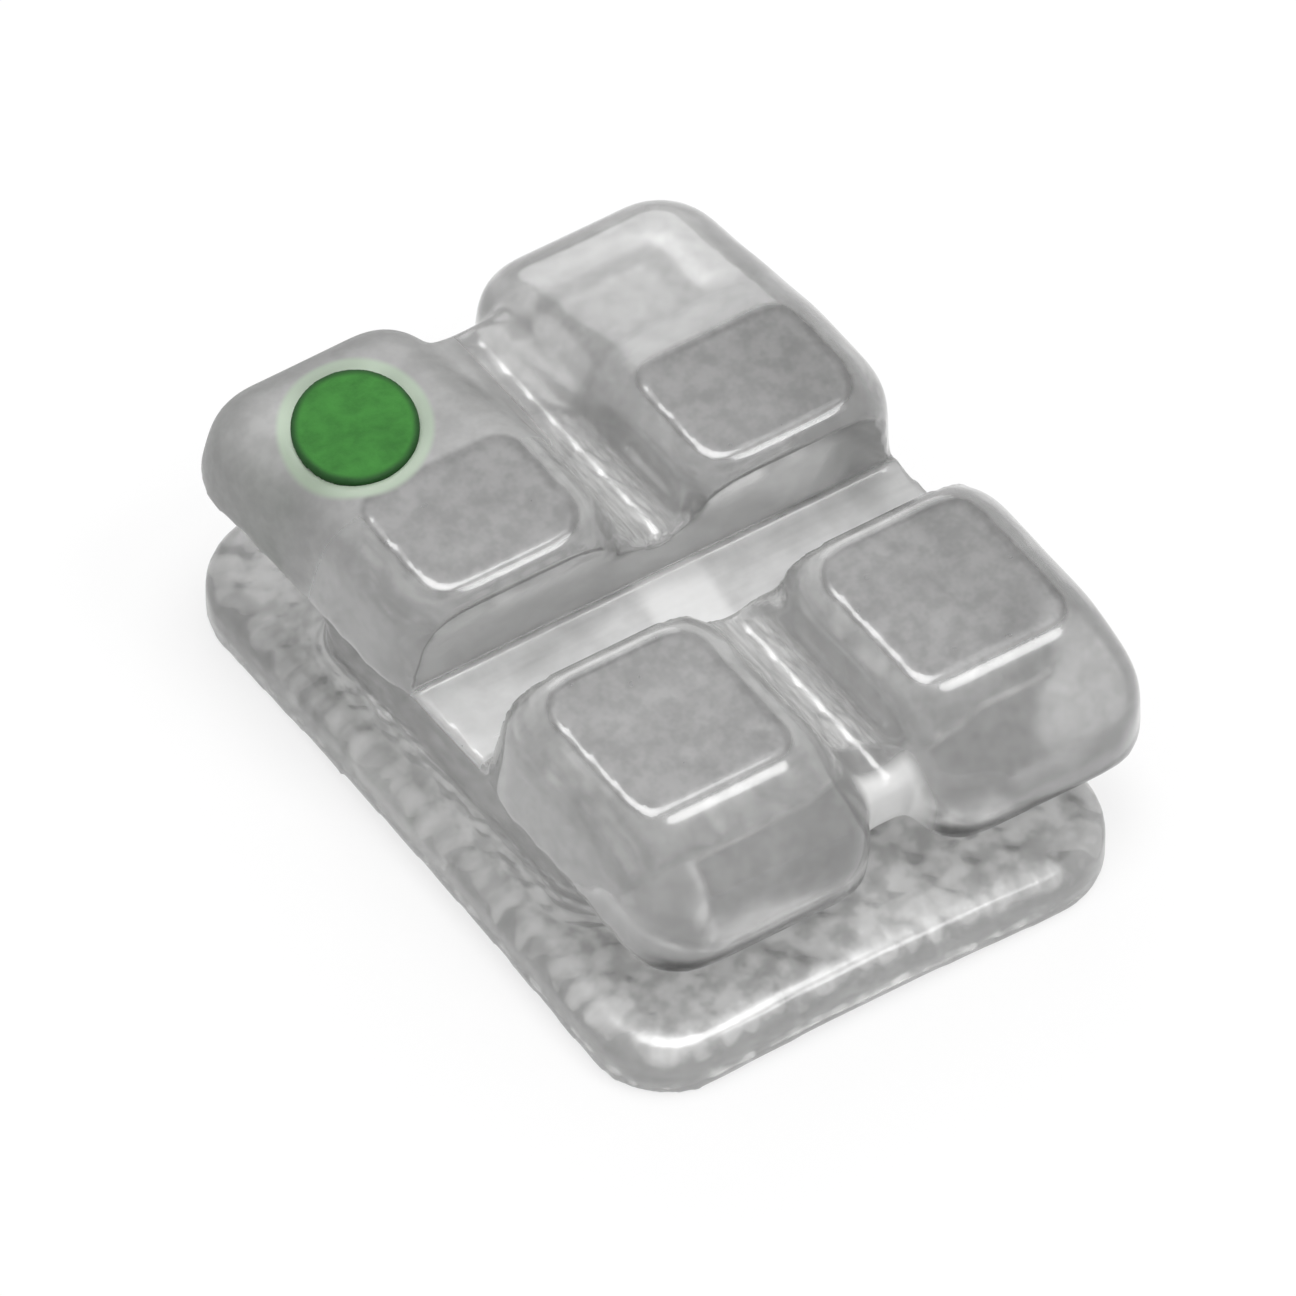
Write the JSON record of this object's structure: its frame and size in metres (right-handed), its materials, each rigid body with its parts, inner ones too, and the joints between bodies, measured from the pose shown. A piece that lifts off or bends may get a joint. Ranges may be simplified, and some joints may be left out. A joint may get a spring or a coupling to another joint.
{
  "type": "orthodontic bracket",
  "caption": "Clear crystal orthodontic twin bracket with a curved bonding pad, rounded tie wings around an archwire slot, and a green orientation dot.",
  "frame": {"origin": "middle of the bonding pad, in the plane of its lowest corners", "axes": "+X along the archwire slot, +Y towards the gum side wings, +Z away from the tooth"},
  "size_m": [0.0037, 0.0044, 0.0018],
  "materials": {
    "crystal": "polished clear single crystal alumina",
    "marking_paint": "satin green marking paint"
  },
  "bodies": {
    "root": {"bracket_body": "crystal", "orientation_dot": "marking_paint"}
  },
  "joints": []
}
